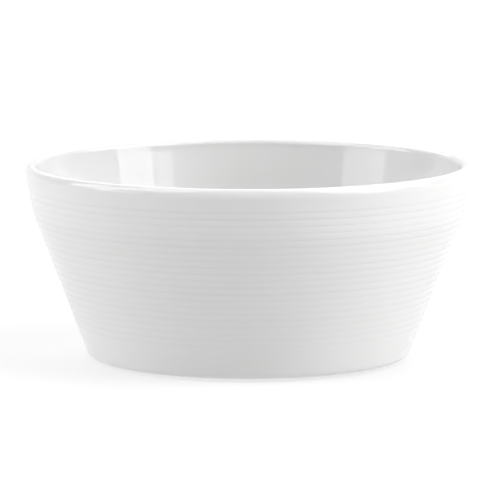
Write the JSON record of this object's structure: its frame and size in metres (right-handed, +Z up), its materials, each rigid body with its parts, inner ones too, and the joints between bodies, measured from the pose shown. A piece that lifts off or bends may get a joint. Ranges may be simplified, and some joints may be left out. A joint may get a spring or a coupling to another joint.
{
  "type": "serving bowl",
  "caption": "Round white porcelain serving bowl: steep collar over a flared, finely grooved wall, rounded lip, low foot ring; open at the top.",
  "frame": {"origin": "on the bowl's axis, in the plane of the foot ring's standing face", "axes": "+Z up along the bowl's axis of revolution, through the open rim; +X and +Y are equal directions across the rim"},
  "size_m": [0.203, 0.203, 0.089],
  "materials": {
    "bisque_porcelain": "unglazed, fine matte, bare only on the standing face of the foot ring",
    "white_glaze": "gloss white glaze",
    "underside_glaze": "gloss white glaze"
  },
  "bodies": {
    "root": {"porcelain_body": "bisque_porcelain", "glaze_coat": "white_glaze", "underside_glaze": "underside_glaze"}
  },
  "joints": []
}
